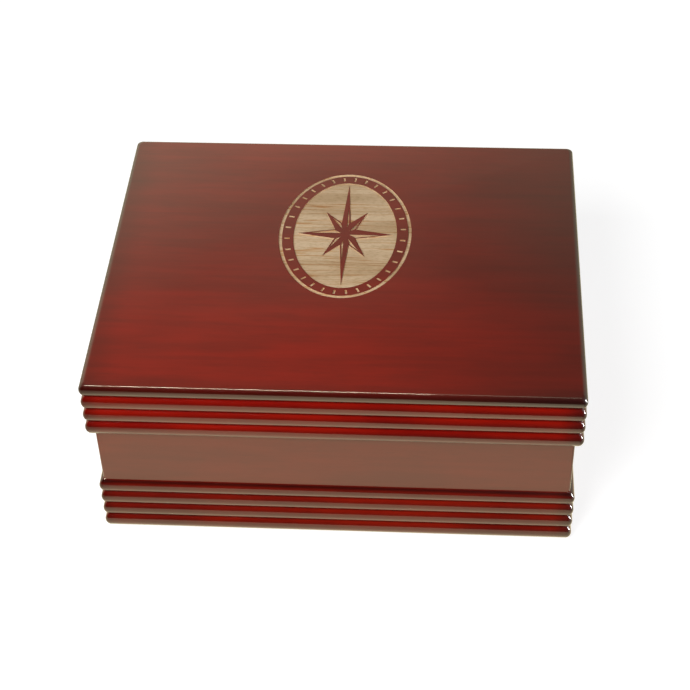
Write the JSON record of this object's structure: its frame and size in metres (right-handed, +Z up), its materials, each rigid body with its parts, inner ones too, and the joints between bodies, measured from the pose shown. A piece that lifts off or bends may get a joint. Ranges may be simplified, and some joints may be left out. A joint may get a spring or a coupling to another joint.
{
  "type": "badge display case",
  "caption": "Lacquered wooden presentation case with reeded edges, a hinged solid lid, a velvet lining and a padded display insert that lifts out.",
  "frame": {"origin": "centre of the footprint, on the surface the case stands on", "axes": "+X along the long side, to the right of someone facing the front; the front faces -Y and the hinges are at +Y; +Z up"},
  "size_m": [0.2032, 0.165, 0.0872],
  "materials": {
    "lacquered_wood": "clear gloss lacquer over dark red stain",
    "plain_board": "unfinished fibreboard and plywood",
    "brass": "polished",
    "velvet": "black velvet pile",
    "ribbon": "black satin ribbon",
    "felt": "pressed felt"
  },
  "bodies": {
    "case": {"case_wall_front": "lacquered_wood", "case_wall_right": "lacquered_wood", "case_wall_back": "lacquered_wood", "case_wall_left": "lacquered_wood", "base_moulding_front": "lacquered_wood", "base_moulding_right": "lacquered_wood", "base_moulding_back": "lacquered_wood", "base_moulding_left": "lacquered_wood", "bottom_panel": "plain_board", "floor_lining": "velvet", "wall_lining_front": "velvet", "wall_lining_right": "velvet", "wall_lining_back": "velvet", "wall_lining_left": "velvet", "tray_ledger_left": "velvet", "tray_ledger_right": "velvet", "hinge_body_leaf_left": "brass", "hinge_body_leaf_right": "brass", "hinge_pin_left": "brass", "hinge_pin_right": "brass", "hinge_body_screws": "brass", "felt_feet": "felt"},
    "lid": {"lid_top_panel": "lacquered_wood", "lid_rail_front": "lacquered_wood", "lid_rail_right": "lacquered_wood", "lid_rail_back": "lacquered_wood", "lid_rail_left": "lacquered_wood", "lid_lining_front": "velvet", "lid_lining_right": "velvet", "lid_lining_back": "velvet", "lid_lining_left": "velvet", "lid_pad": "velvet", "hinge_lid_leaf_left": "brass", "hinge_lid_leaf_right": "brass", "hinge_lid_screws": "brass"},
    "display_tray": {"tray_board": "plain_board", "display_pad": "velvet", "pull_ribbon": "ribbon"}
  },
  "joints": [
    {"name": "lid_hinge", "type": "hinge", "parent": "case", "child": "lid", "pos_m": [0, 0.081, 0.05914], "axis": [-1, 0, 0], "range_deg": [0, 95]},
    {"name": "tray_lift", "type": "slide", "parent": "case", "child": "display_tray", "axis": [0, 0, 1], "range_m": [0, 0.02]}
  ]
}
